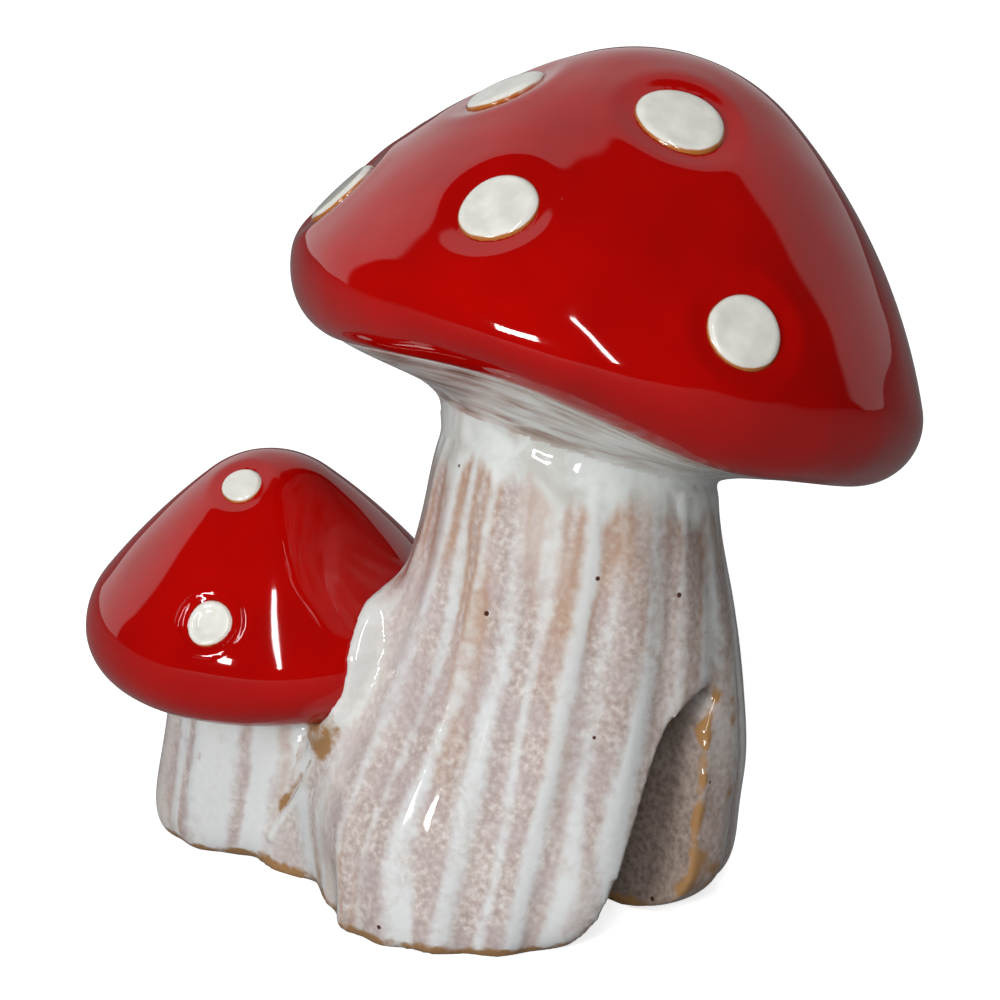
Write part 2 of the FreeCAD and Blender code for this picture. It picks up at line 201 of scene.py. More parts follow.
def spot_glaze():
    """Opaque white glaze on the pads, thin enough at the rim for tan clay to show."""
    material, tree = new_material("fired_white_spot_glaze")
    place = add(tree, "ShaderNodeTexCoord").outputs["Object"]
    # Clouds about 2.4 mm across
    clouds = grain(tree, place, scale=420.0, detail=4.0)
    colour = ramp(tree, clouds, (0.35, "#D3D2CA"), (0.65, "#E4E4DC"))
    # The tan rim comes and goes over about 2 mm
    patchy = plus(tree, attribute(tree, "rim", "Fac"), times(tree, grain(tree, place, scale=500.0), 0.5))
    colour = blend(tree, share(tree, patchy, 0.6, 1.0), colour, linear("#A8672F"))
    waves = grain(tree, place, scale=300.0)
    return finish_glaze(material, tree, colour, waves, roughness=0.1, strength=0.25, distance=0.0003)


def pooled_white(tree, place, flow):
    """Colour of the thick white glaze at the neck, faintly green, with greyer clouds."""
    stretch = stretched(tree, flow, across=1.0, along=1.2)
    clouds = grain(tree, stretch, scale=3.0, detail=4.0, distortion=0.5)
    colour = ramp(tree, clouds, (0.3, "#C4C3BD"), (0.45, "#D6DBD8"), (0.65, "#E6EAE8"))
    # Grey speckle of about 1 mm
    speckle = times(tree, grain(tree, place, scale=1100.0, detail=3.0), 0.3)
    return blend(tree, speckle, colour, linear("#B4AEA9"))


def streaks(tree, flow, axes, count):
    """Streaks that run down a stem, about evenly spaced round it, wandering and coming and going."""
    angle = add(tree, "ShaderNodeMath", {"operation": "ARCTAN2"},
                _0=axes["Y"], _1=axes["X"]).outputs["Value"]
    wander = grain(tree, stretched(tree, flow, across=1.0, along=0.25), scale=1.6)
    drift = times(tree, wander, 16.0)
    wave = add(tree, "ShaderNodeMath", {"operation": "SINE"},
               _0=plus(tree, times(tree, angle, count), drift)).outputs["Value"]
    patches = grain(tree, stretched(tree, flow, across=1.0, along=0.16, shift=5.3), scale=3.4)
    presence = times(tree, plus(tree, patches, -0.5), 2.7)
    return plus(tree, times(tree, wave, 0.5), presence)


def streaked_glaze(name, tan_from, count, run_level):
    """White glaze that ran down in soft streaks over a greyish speckled one, with tan breaks beside them.

    The tan grows from a height given in flow lengths, about count streaks go round the stem, and a lower
    run level makes them wider.
    """
    material, tree = new_material(name)
    place = add(tree, "ShaderNodeTexCoord").outputs["Object"]
    flow = attribute(tree, "flow", "Vector")
    axes = add(tree, "ShaderNodeSeparateXYZ", Vector=flow).outputs
    # Speckle of 0.4 to 1 mm
    fine = grain(tree, place, scale=1600.0, detail=5.0)
    body = ramp(tree, fine, (0.32, "#AA9A94"), (0.5, "#BCAFA9"), (0.68, "#D2CAC6"))
    # Lavender clouds about 5 mm across
    haze = share(tree, grain(tree, place, scale=220.0, detail=3.0), 0.42, 0.62)
    body = blend(tree, times(tree, haze, 0.55), body, linear("#B3A5A6"))
    # Painted shade: a darker, browner colour round the right-hand side, where shade falls
    side = plus(tree, times(tree, axes["X"], 0.7), times(tree, axes["Y"], 0.7))
    shaded_brown = ramp(tree, fine, (0.32, "#938279"), (0.68, "#B3A59F"))
    body = blend(tree, share(tree, side, 0.0, 0.9), body, shaded_brown)
    # Edges broken up over about 1.3 mm
    rough = times(tree, plus(tree, grain(tree, place, scale=750.0, detail=5.0), -0.5), 1.25)
    runs = streaks(tree, flow, axes, count)
    ragged = plus(tree, runs, rough)
    # Tan breaks beside the runs, wider towards the neck
    stretch = stretched(tree, flow, across=1.0, along=0.3, shift=3.7)
    breaks = grain(tree, stretch, scale=2.2, detail=3.0, distortion=0.4)
    reach = plus(tree, breaks, times(tree, share(tree, axes["Z"], tan_from, tan_from + 1.0), 0.17))
    beside = times(tree, share(tree, ragged, run_level - 1.0, run_level - 0.2),
                   share(tree, reach, 0.49, 0.68))
    body = blend(tree, times(tree, beside, 0.7), body, linear("#AD876A"))
    # Wide pale clouds, then the white runs
    clouds = grain(tree, stretched(tree, flow, across=1.0, along=0.3, shift=8.1), scale=2.4, detail=4.0)
    body = blend(tree, times(tree, share(tree, clouds, 0.48, 0.7), 0.5), body, linear("#D6D1CD"))
    covered = times(tree, share(tree, ragged, run_level - 0.35, run_level + 0.8), 0.82)
    body = blend(tree, covered, body, linear("#D9DEDE"))
    # The thick white of the neck and of the joint ends in a ragged edge
    drips = grain(tree, stretched(tree, flow, across=1.0, along=0.22), scale=4.6, detail=4.0)
    ends = times(tree, plus(tree, drips, -0.5), 0.8)
    white = pooled_white(tree, place, flow)
    neck = share(tree, plus(tree, attribute(tree, "band", "Fac"), ends), -0.34, -0.1)
    body = blend(tree, neck, body, white)
    joint = share(tree, plus(tree, attribute(tree, "joint", "Fac"), ends), 0.3, 0.8)
    body = blend(tree, times(tree, joint, 0.65), body, white)
    # Painted shade: the inside of the slot darkened to a grey-brown
    body = blend(tree, times(tree, attribute(tree, "slot_shade", "Fac"), 0.75), body,
                 ramp(tree, fine, (0.32, "#6C5E57"), (0.68, "#958579")))
    # Toasted bare clay on the sharp edges and round the foot
    patchy = times(tree, grain(tree, place, scale=420.0, detail=4.0), 2.0)
    bare = plus(tree, attribute(tree, "bare", "Fac"), patchy)
    body = blend(tree, share(tree, bare, 1.5, 1.95), body, linear("#98734B"))
    # Iron specks up to 0.65 mm across, in most of the cells that lie 6 mm apart
    specks = add(tree, "ShaderNodeTexVoronoi", Vector=place, Scale=160.0)
    lot = add(tree, "ShaderNodeSeparateColor", Color=specks.outputs["Color"]).outputs["Red"]
    chosen = share(tree, lot, 0.12, 0.17)
    dots = times(tree, share(tree, specks.outputs["Distance"], 0.052, 0.034), chosen)
    body = blend(tree, dots, body, linear("#4A2A22"))
    return finish_glaze(material, tree, body, runs, roughness=0.07, strength=0.5, distance=0.0002)


def underside_glaze():
    """Grey-white glaze pulled round the underside by a brush, brown where it is thin."""
    material, tree = new_material("fired_brushed_white_glaze")
    place = add(tree, "ShaderNodeTexCoord").outputs["Object"]
    flow = attribute(tree, "flow", "Vector")
    stretch = stretched(tree, flow, across=1.6, along=6.0)
    brushed = grain(tree, stretch, scale=1.9, detail=4.0, distortion=0.3)
    colour = ramp(tree, brushed, (0.32, "#94796A"), (0.44, "#B9ACA3"), (0.56, "#D4D2CE"), (0.7, "#E0E2DF"))
    # Maroon flecks up to 1.5 mm across, from cells 10 mm apart
    flecks = add(tree, "ShaderNodeTexVoronoi", Vector=place, Scale=95.0).outputs["Distance"]
    colour = blend(tree, share(tree, flecks, 0.07, 0.045), colour, linear("#7A2A28"))
    # Thick white where it meets the collar
    edge = plus(tree, attribute(tree, "band", "Fac"), times(tree, brushed, 0.4))
    colour = blend(tree, share(tree, edge, 0.48, 0.28), colour, pooled_white(tree, place, flow))
    return finish_glaze(material, tree, colour, brushed, roughness=0.12, strength=0.3, distance=0.0003)


def collar_glaze():
    """Thick pooled white glaze round the neck, faintly green."""
    material, tree = new_material("fired_pooled_white_glaze")
    place = add(tree, "ShaderNodeTexCoord").outputs["Object"]
    colour = pooled_white(tree, place, attribute(tree, "flow", "Vector"))
    waves = grain(tree, place, scale=150.0)
    return finish_glaze(material, tree, colour, waves, roughness=0.07, strength=0.35, distance=0.0006)


def floor_material():
    """Plain studio paper, white to the camera, that keeps the object's soft shadow."""
    material, tree = new_material("studio_paper")
    path = add(tree, "ShaderNodeLightPath").outputs["Is Camera Ray"]
    tone = blend(tree, path, linear("#969696"), linear("#F4F4F4"))
    paper = add(tree, "ShaderNodeBsdfDiffuse", Color=tone).outputs["BSDF"]
    # What the pale paper lacks to be white in the picture
    glow = add(tree, "ShaderNodeEmission", Color=WHITE, Strength=times(tree, path, 0.72))
    seen = add(tree, "ShaderNodeAddShader", _0=paper, _1=glow.outputs["Emission"])
    add(tree, "ShaderNodeOutputMaterial", Surface=seen.outputs["Shader"])
    return material


# Sizes shared with the CAD source, in millimetres, degrees and shares. The shares give the corners of a
# dome's profile. Each pad has its share of the radius, its bearing and its scale.

CAPS = {
    "large": {"place": (2.25, 22.15, 55.8), "tilt": 21.6, "roll": 3.3, "radius": 32.2, "height": 28.7,
              "lip": 6.5, "lip_radius": 27.3, "seat": 26.5, "shares": ((0.34, 0.888), (0.98, 0.085)),
              "pad": 4.1, "moat": 1.5, "bed": 0.9, "steps": 520, "arc_steps": (22, 66, 10, 22),
              "pads": ((0.46, -48.6, 1.07), (0.84, -80.3, 0.95), (0.92, -26.4, 0.93), (0.92, -132.5, 1.0),
                       (0.553, -124.0, 1.0), (0.70, -158.0, 0.9), (0.88, 172.0, 1.0), (0.52, 163.0, 0.95),
                       (0.88, 122.0, 1.0), (0.88, 76.0, 1.0), (0.50, 80.0, 1.0))},
    "small": {"place": (-26.0, 2.4, 23.4), "tilt": 0.0, "roll": 0.0, "radius": 19.0, "height": 18.1,
              "lip": 5.4, "lip_radius": 15.0, "seat": 14.2, "shares": ((0.337, 0.873), (0.908, 0.265)),
              "pad": 2.4, "moat": 0.9, "bed": 0.6, "steps": 400, "arc_steps": (20, 44, 14, 20),
              "pads": ((0.28, -75.0, 0.9), (0.86, -64.2, 1.0), (0.80, -170.0, 1.0), (0.80, 135.0, 1.0),
                       (0.80, 90.0, 1.0))},
}
TRUNK_FOOT = Vector((-0.1, 9.9, 0)) * MM
TRUNK_NECK = Vector((2.6, 18.0, 44.0)) * MM
TRUNK_NECK_LEAN = 17
SMALL_FOOT = Vector((-29.3, 1.8, 0)) * MM
SMALL_NECK = Vector((-26.0, 2.4, 16.8)) * MM


# Making pieces

# Rises and dips of the large cap's rim: bearing and spread in degrees, height in millimetres
RIM_WAVES = ((-68, 24, 1.3), (-122, 24, -1.0), (-20, 18, -0.8))
WELD = 1e-7


def smoothstep(low, high, value):
    fraction = min(1.0, max(0.0, (value - low) / (high - low)))
    return fraction * fraction * (3 - 2 * fraction)


def bell(away, width):
    """A soft bump that is 1 in the middle."""
    return math.exp(-(away / width) ** 2)


def rim_wave(local):
    """How far the hand-formed rim of the large cap rises or dips at a point, in metres."""
    bearing = math.degrees(math.atan2(local.y, local.x))
    wave = 0.0
    for middle, spread, rise in RIM_WAVES:
        wave += rise * bell(bearing - middle, spread)
    return wave * MM


def piece(name, form, material, node):
    """Turns a finished bmesh into a piece that stands for one CAD node."""
    mesh = bpy.data.meshes.new(name)
    form.to_mesh(mesh)
    form.free()
    mesh.materials.append(material)
    for face in mesh.polygons:
        face.use_smooth = True
    thing = link(bpy.data.objects.new(name, mesh))
    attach(thing, "root")
    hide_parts(node)


def arc_centre(start, heading, end):
    """Centre and signed radius of the arc that leaves a point along a heading and ends at another."""
    left = Vector((-heading.z, 0, heading.x))
    chord = end - start
    radius = chord.dot(chord) / (2 * left.dot(chord))
    return start + left * radius, radius


def draw_arc(form, tip, heading, end, steps):
    """Spins the profile's last vertex along the arc that leaves it along a heading and ends at a point."""
    centre, radius = arc_centre(tip.co, heading, end)
    turn = (tip.co - centre).angle(end - centre)
    angle = -turn if radius > 0 else turn
    done = bmesh.ops.spin(form, geom=[tip], cent=centre, axis=(0, 1, 0), angle=angle, steps=steps)
    tip = next(item for item in done["geom_last"] if isinstance(item, bmesh.types.BMVert))
    spoke = end - centre
    ahead = Vector((-spoke.z, 0, spoke.x)) if radius > 0 else Vector((spoke.z, 0, -spoke.x))
    return tip, ahead.normalized()


def draw_line(form, tip, x, z, steps=1):
    start = tip.co.copy()
    for step in range(steps):
        new = bmesh.ops.extrude_vert_indiv(form, verts=[tip])["verts"][0]
        new.co = start.lerp(Vector((x, 0, z)), (step + 1) / steps)
        tip = new
    return tip


def revolve(form, steps):
    """Turns everything drawn so far round Z into one closed skin."""
    bmesh.ops.spin(form, geom=form.verts[:] + form.edges[:], cent=(0, 0, 0), axis=(0, 0, 1),
                   angle=math.tau, steps=steps, use_merge=True)
    bmesh.ops.remove_doubles(form, verts=form.verts, dist=WELD)
    bmesh.ops.dissolve_degenerate(form, dist=WELD, edges=form.edges)
    bmesh.ops.recalc_face_normals(form, faces=form.faces)


def cap_matrix(cap):
    roll = Matrix.Rotation(math.radians(cap["roll"]), 4, "Y")
    tilt = Matrix.Rotation(-math.radians(cap["tilt"]), 4, "X")
    return Matrix.Translation(Vector(cap["place"]) * MM) @ (roll @ tilt)


def pad_matrix(cap, across_share, bearing):
    """Placement on the dome with Z square to its surface."""
    radius, height = cap["radius"] * MM, cap["height"] * MM
    across = radius * across_share
    start, heading = Vector((0, 0, height)), Vector((1, 0, 0))
    for share_x, share_z in cap["shares"]:
        end = Vector((radius * share_x, 0, height * share_z))
        centre, reach = arc_centre(start, heading, end)
        spoke = end - centre
        if across <= end.x:
            break
        start, heading = end, Vector((spoke.z, 0, -spoke.x)).normalized()
    rise = math.sqrt(reach * reach - (across - centre.x) ** 2)
    slope = math.atan2(across - centre.x, rise)
    around = Matrix.Rotation(math.radians(bearing), 4, "Z")
    spot = Matrix.Translation((across, 0, centre.z + rise)) @ Matrix.Rotation(slope, 4, "Y")
    return cap_matrix(cap) @ around @ spot


def wobble(angle, seed):
    """How far a hand-pressed outline strays from a circle, as a share of its radius."""
    return 0.028 * math.sin(2 * angle + seed * 1.7) + 0.018 * math.sin(3 * angle + seed * 2.9)


# Parts of a dimple, as distances outside the pad's edge in widths of the moat: a step hidden under the
# pad, the slope that is seen, the thin glaze, and the middle and width of the rolled rim
HIDDEN_STEP, SLOPE, THIN_GLAZE, ROLL = (-0.35, -0.05), (-0.1, 1.7), (-0.1, 0.22), (1.9, 0.7)
# Shares of the dimple's depth
STEP_SHARE, SLOPE_SHARE, ROLL_SHARE = 0.5, 0.5, 0.06
# One pad of the small cap is dished and has a raised ring: middle as a share of its radius, width, height
DISHED_PAD = ("small", 1)
RING_MIDDLE, RING_WIDTH, RING_HEIGHT = 1.36, 0.26 * MM, 0.3 * MM


def press_dimples(form, name):
    """Presses a soft dimple round each pad, with a low rolled rim, and marks where the glaze thins."""
    cap = CAPS[name]
    places = [(pad_matrix(cap, across_share, bearing).inverted(), cap["pad"] * MM * scale, index)
              for index, (across_share, bearing, scale) in enumerate(cap["pads"])]
    moat, bed = cap["moat"] * MM, cap["bed"] * MM
    thin = form.verts.layers.float.new("thin")
    form.normal_update()
    for vertex in form.verts:
        for back, foot, index in places:
            local = back @ vertex.co
            away = math.hypot(local.x, local.y)
            if away > foot + 4 * moat or local.z < -4 * MM:
                continue
            edge = foot * (1 + wobble(math.atan2(local.y, local.x), index))
            step, slope, bared = (1 - smoothstep(edge + inner * moat, edge + outer * moat, away)
                                  for inner, outer in (HIDDEN_STEP, SLOPE, THIN_GLAZE))
            sunk = SLOPE_SHARE * bed * slope + STEP_SHARE * bed * step
            roll = ROLL_SHARE * bed * bell(away - edge - ROLL[0] * moat, ROLL[1] * moat)
            if (name, index) == DISHED_PAD:
                roll = RING_HEIGHT * bell(away - RING_MIDDLE * foot, RING_WIDTH)
            vertex[thin] = bared
            vertex.co += vertex.normal * (roll - sunk)
            break


def stop_at_trunk(form, node):
    """Draws everything that runs into the trunk back to the face where the CAD part stops."""
    cut = BVHTree.FromObject(NODES[node], bpy.context.evaluated_depsgraph_get())
    for vertex in form.verts:
        near, _, _, away = cut.find_nearest(vertex.co)
        if away > 1.1 * MM:
            vertex.co = near


# A hair under the CAD size, so that nothing stands outside it
CAP_SCALE = 0.9993
# The plain web inside a cap: its ledge and its height over the lip, and how far it sets in
WEB_LEDGE, WEB_RISE, WEB_INSET = 0.1 * MM, 0.6 * MM, 0.05 * MM


def make_cap(name, material):
    cap = CAPS[name]
    radius, height = cap["radius"] * MM, cap["height"] * MM
    lip, seat = -cap["lip"] * MM, cap["seat"] * MM
    form = bmesh.new()
    tip = form.verts.new((0, 0, height))
    heading = Vector((1, 0, 0))
    corners = [Vector((radius * x, 0, height * z)) for x, z in cap["shares"]]
    corners += [Vector((radius, 0, 0)), Vector((cap["lip_radius"] * MM, 0, lip))]
    for corner, steps in zip(corners, cap["arc_steps"]):
        tip, heading = draw_arc(form, tip, heading, corner, steps)
    # A plain web inside closes the dome just above its lip
    tip = draw_line(form, tip, seat, lip + WEB_LEDGE, steps=2)
    tip = draw_line(form, tip, seat - WEB_INSET, lip + WEB_RISE)
    draw_line(form, tip, 0, lip + WEB_RISE, steps=4)
    revolve(form, cap["steps"])
    if name == "large":
        for vertex in form.verts:
            vertex.co.z += rim_wave(vertex.co) * smoothstep(0.5 * MM, -lip, -vertex.co.z)
    form.transform(cap_matrix(cap) @ Matrix.Scale(CAP_SCALE, 4))
    press_dimples(form, name)
    if name == "small":
        stop_at_trunk(form, "small_cap")
    piece(f"{name}_cap_glazed", form, material, f"{name}_cap")


PAD_ROWS, PAD_STEPS = 18, 96
# Heights of a pad's face against the dome: its middle, how far it crowns, and the dish of the dished one
PAD_TOP, PAD_CROWN, DISH_DEPTH = -0.05 * MM, 0.12 * MM, 0.4 * MM
# The soft edge: the share of the radius where it starts, its width, its fall and the power of its curve
EDGE_START, EDGE_WIDTH, EDGE_FALL, EDGE_POWER = 0.8, 0.2, 0.4 * MM, 2.2
# Shares of the radius between which the dish rises
DISH_SLOPE = (0.4, 0.85)
# The foot of a pad is wider than its face by this factor
FOOT_SPREAD = 1.01


def make_pad(name, index, material):
    """One white pad: a soft-edged button. A thumb dished one of them."""
    cap = CAPS[name]
    across_share, bearing, scale = cap["pads"][index]
    radius = cap["pad"] * MM * scale
    deep = DISH_DEPTH if (name, index) == DISHED_PAD else 0.0
    form = bmesh.new()
    tip = form.verts.new((0, 0, PAD_TOP - deep))
    for row in range(1, PAD_ROWS + 1):
        out = row / PAD_ROWS
        fall = EDGE_FALL * max(0.0, (out - EDGE_START) / EDGE_WIDTH) ** EDGE_POWER
        dish = deep * (1 - smoothstep(*DISH_SLOPE, out))
        tip = draw_line(form, tip, radius * out, PAD_TOP - fall - dish - PAD_CROWN * out * out)
    draw_line(form, tip, radius * FOOT_SPREAD, -cap["bed"] * MM, steps=3)
    revolve(form, PAD_STEPS)
    rim = form.verts.layers.float.new("rim")
    matrix = pad_matrix(cap, across_share, bearing)
    downhill = (matrix.to_3x3().inverted() @ Vector((0, 0, -1))).to_2d()
    for vertex in form.verts:
        flat = vertex.co.to_2d()
        lower = 0
        if flat.length > 0 and downhill.length > 0:
            lower = flat.normalized().dot(downhill.normalized())
        # The bare rim is wider and stronger on its lower side
        start = 0.93 - 0.02 * lower
        vertex[rim] = smoothstep(start, start + 0.06, flat.length / radius) * (0.8 + 0.2 * lower)
        stray = 1 + wobble(math.atan2(flat.y, flat.x), index)
        vertex.co.x *= stray
        vertex.co.y *= stray
    form.transform(matrix)
    piece(f"{name}_spot_{index + 1}", form, material,
          f"{name}_cap_spot_{index + 1}")


# The pale clay: one soft skin, with notes on each point for the glazes

# Clay pressed into the valley between the two stems: a cone that leans on both
VALLEY_CENTRE = Vector((-15.25, -0.15, 7.76)) * MM
VALLEY_FOOT_RADIUS, VALLEY_TOP_RADIUS, VALLEY_HEIGHT = 7.6 * MM, 2.6 * MM, 15.5 * MM
LEAN_ON_TRUNK = Matrix.Shear("XY", 4, (0.355, -0.2))
# The skin: size of the remesh, how far a smoothing round goes, and how many rounds it, the joint and the
# valley have
VOXEL = 0.45 * MM
SMOOTHING = 0.5
SKIN_ROUNDS, JOINT_ROUNDS, VALLEY_ROUNDS = 9, 24, 220
# The open rim of a part is turned this far into the clay
TURNED_IN = 0.8 * MM
# The flow notes count heights and distances in this length
FLOW_LENGTH = 17 * MM
# The stems lie lower than this in the large cap's own frame, and have soft dents
UNDER_CAP = -12 * MM
DENT_DEPTH_MM = 0.22
# Distances from the large cap's axis between which its underside takes up the wave of the rim
UNDERSIDE_WAVE = (15 * MM, 26 * MM)
# The slot, in millimetres: where each leaning wall meets the floor and its lean, and the slot's top
FRONT_WALL, REAR_WALL, SLOT_TOP = (2.8, 0.45), (14.9, 0.2), 24.6
# Where thumbs pressed the large foot in beside the small one: place, reach and depth in millimetres
PRESSES = (((-15.0, -7.6, 3.0), 6.0, 2.4), ((-9.2, -9.4, 2.8), 6.5, 2.4))
# A ridge and the groove beside it run down from the joint, which tapers out at its tip, in millimetres
RIDGE = ((-11.7, -4.6, 14.8), (-13.6, -5.0, 11.6), (-16.8, -4.4, 7.0), (-19.3, -3.0, 3.0))
GROOVE = ((-12.5, -4.4, 14.4), (-15.2, -3.6, 11.2), (-17.6, -3.6, 7.6), (-19.9, -2.6, 4.4))
JOINT_TIP = Vector((-10.8, -5.3, 17.5)) * MM
RIDGE_WIDTH, RIDGE_HEIGHT = 0.6 * MM, 0.5 * MM
GROOVE_WIDTH, GROOVE_DEPTH = 0.7 * MM, 0.4 * MM


def fill_valley(form):
    cone = bmesh.new()
    bmesh.ops.create_cone(cone, cap_ends=True, segments=48, radius1=VALLEY_FOOT_RADIUS,
                          radius2=VALLEY_TOP_RADIUS, depth=VALLEY_HEIGHT)
    cone.transform(Matrix.Translation(VALLEY_CENTRE) @ LEAN_ON_TRUNK)
    lump = bpy.data.meshes.new("lump")
    cone.to_mesh(lump)
    cone.free()
    form.from_mesh(lump)
    bpy.data.meshes.remove(lump)


def clay_skin(nodes):
    """A softened skin over copies of CAD nodes, as a thick glaze gives: merged, remeshed and smoothed."""
    form = bmesh.new()
    for node in nodes:
        form.from_mesh(NODES[node].data)
    bmesh.ops.remove_doubles(form, verts=form.verts, dist=1e-6)
    fill_valley(form)
    mesh = bpy.data.meshes.new("skin")
    form.to_mesh(mesh)
    form.free()
    thing = link(bpy.data.objects.new("skin", mesh))
    remesh = thing.modifiers.new("remesh", "REMESH")
    remesh.mode = "VOXEL"
    remesh.voxel_size = VOXEL
    smooth = thing.modifiers.new("smooth", "SMOOTH")
    smooth.factor = SMOOTHING
    smooth.iterations = SKIN_ROUNDS
    ready = thing.evaluated_get(bpy.context.evaluated_depsgraph_get())
    form = bmesh.new()
    form.from_mesh(ready.data)
    bpy.data.objects.remove(thing)
    bpy.data.meshes.remove(mesh)
    return form


def soften_note(form, layer, rounds):
    """Mixes each point's note with its neighbours', in place."""
    for _ in range(rounds):
        for vertex in form.verts:
            near = [edge.other_vert(vertex)[layer] for edge in vertex.link_edges]
            vertex[layer] = 0.4 * vertex[layer] + 0.6 * sum(near) / len(near)


def mark_flow(form, foot, neck):
    """Notes how far round a leaning stem and how far up it each point lies, for glaze that runs down."""
    flow = form.verts.layers.float_vector.new("flow")
    for vertex in form.verts:
        risen = min(1.0, max(0.0, vertex.co.z / neck.z))
        side = vertex.co - foot.lerp(neck, 1 - (1 - risen) ** 1.6)
        angle = math.atan2(side.y, side.x)
        vertex[flow] = Vector((math.cos(angle), math.sin(angle), vertex.co.z / FLOW_LENGTH))


def mark_disc(form, back):
    """Notes each point's bearing round a cap's axis and its distance from it."""
    flow = form.verts.layers.float_vector.new("flow")
    for vertex in form.verts:
        local = back @ vertex.co
        angle = math.atan2(local.y, local.x)
        out = math.hypot(local.x, local.y) / FLOW_LENGTH
        vertex[flow] = Vector((math.cos(angle), math.sin(angle), out))


def mark_bare(form):
    """Notes where little glaze stays: where the skin is bent outwards sharply, and next to the floor."""
    sharp_bend = 0.018 * MM
    bare = form.verts.layers.float.new("bare")
    for vertex in form.verts:
        around = sum((edge.other_vert(vertex).co for edge in vertex.link_edges), Vector())
        bend = vertex.normal.dot(vertex.co - around / len(vertex.link_edges))
        rear = 0.25 + 0.75 * smoothstep(13 * MM, 17 * MM, vertex.co.y)
        low = 1 - smoothstep(22 * MM, 26 * MM, vertex.co.z)
        vertex[bare] = min(1.2, max(0.0, bend / sharp_bend)) * rear * low
    soften_note(form, bare, rounds=5)
    for vertex in form.verts:
        vertex[bare] = max(vertex[bare], 1 - smoothstep(0.5 * MM, 2.3 * MM, vertex.co.z))


def mark_band(form):
    """Notes the height over the trunk's neck, in centimetres, square to the leaning neck."""
    band = form.verts.layers.float.new("band")
    up = Matrix.Rotation(-math.radians(TRUNK_NECK_LEAN), 3, "X") @ Vector((0, 0, 1))
    for vertex in form.verts:
        vertex[band] = up.dot(vertex.co - TRUNK_NECK) / (10 * MM)


def mark_slot_shade(form):
    """Notes what faces into the slot, between its leaning walls, where shade is painted."""
    slot_shade = form.verts.layers.float.new("slot_shade")
    for vertex in form.verts:
        x, y, z = vertex.co / MM
        front, rear = (foot + lean * z for foot, lean in (FRONT_WALL, REAR_WALL))
        inside = front < y < rear and z < SLOT_TOP
        vertex[slot_shade] = 1.0 if inside and abs(vertex.normal.x) < 0.75 else 0.0
    soften_note(form, slot_shade, rounds=3)


def near_line(form, corners, reach=3 * MM):
    """Vertices close to a line laid on the skin, each with its distance from it."""
    skin = BVHTree.FromBMesh(form)
    laid = []
    for start, end in zip(corners, corners[1:]):
        for step in range(8):
            at = Vector(start).lerp(Vector(end), step / 8) * MM
            laid.append(skin.find_nearest(at)[0])
    found = []
    for vertex in form.verts:
        if (vertex.co - laid[len(laid) // 2]).length < 12 * MM:
            away = min((vertex.co - at).length for at in laid)
            if away < reach:
                found.append((vertex, away))
    return found


def dress_joint(form, web, red):
    """Raises the ridge and presses the groove beside the joint, and notes how near the joint each point is."""
    joint = form.verts.layers.float.new("joint")
    bare = form.verts.layers.float["bare"]
    for vertex in form.verts:
        away = web.find_nearest(vertex.co, 9 * MM)[3]
        beside = red.find_nearest(vertex.co, 9 * MM)[3]
        if away is not None and beside is not None:
            near_web = 1 - smoothstep(1.5 * MM, 6 * MM, away)
            vertex[joint] = near_web * (1 - smoothstep(0.3 * MM, 3.4 * MM, beside))
        # Tan clay shows where the joint tapers out
        burnt = (vertex.co - JOINT_TIP).length
        vertex[bare] = max(vertex[bare], 1 - smoothstep(1.2 * MM, 4.4 * MM, burnt))
    for vertex, away in near_line(form, GROOVE):
        depth = bell(away, GROOVE_WIDTH)
        vertex.co -= vertex.normal * (GROOVE_DEPTH * depth)
        vertex[bare] = max(vertex[bare], 0.9 * depth)
    for vertex, away in near_line(form, RIDGE):
        rise = bell(away, RIDGE_WIDTH)
        vertex.co += vertex.normal * (RIDGE_HEIGHT * rise)
        vertex[joint] = max(vertex[joint], rise)
        vertex[bare] *= 1 - rise


def close_inside(form):
    """Closes an open patch of skin by turning its rim into the clay and filling it."""
    rim = [edge for edge in form.edges if edge.is_boundary]
    for edge in rim:
        edge.smooth = False
    normals = {tuple(vertex.co): vertex.normal.copy() for edge in rim for vertex in edge.verts}
    made = bmesh.ops.extrude_edge_only(form, edges=rim)["geom"]
    for item in made:
        if isinstance(item, bmesh.types.BMVert):
            item.co -= normals[tuple(item.co)] * TURNED_IN
    bmesh.ops.holes_fill(form, edges=[edge for edge in form.edges if edge.is_boundary], sides=0)
    bmesh.ops.triangulate(form, faces=[face for face in form.faces if len(face.verts) > 4])
    bmesh.ops.recalc_face_normals(form, faces=form.faces)


def settle_joint(skin, trees):
    """Presses the large foot in beside the small one, and smooths the joint and the valley below it."""
    joint = [vertex for vertex in skin.verts if trees["joining_web"].find_nearest(vertex.co, 3 * MM)[0]]
    for vertex in skin.verts:
        push = 0.0
        for place, reach, depth in PRESSES:
            push += depth * bell((vertex.co / MM - Vector(place)).length, reach)
        vertex.co += RIGHT * (push * MM)
    valley = [vertex for vertex in skin.verts if 0.2 * MM < vertex.co.z < 16 * MM
              and trees["small_stem"].find_nearest(vertex.co, 12 * MM)[0]
              and trees["large_stem"].find_nearest(vertex.co, 6 * MM)[0]]
    for loose, rounds in ((joint, JOINT_ROUNDS), (valley, VALLEY_ROUNDS)):
        for _ in range(rounds):
            bmesh.ops.smooth_vert(skin, verts=loose, factor=SMOOTHING,
                                  use_axis_x=True, use_axis_y=True, use_axis_z=True)
    skin.normal_update()


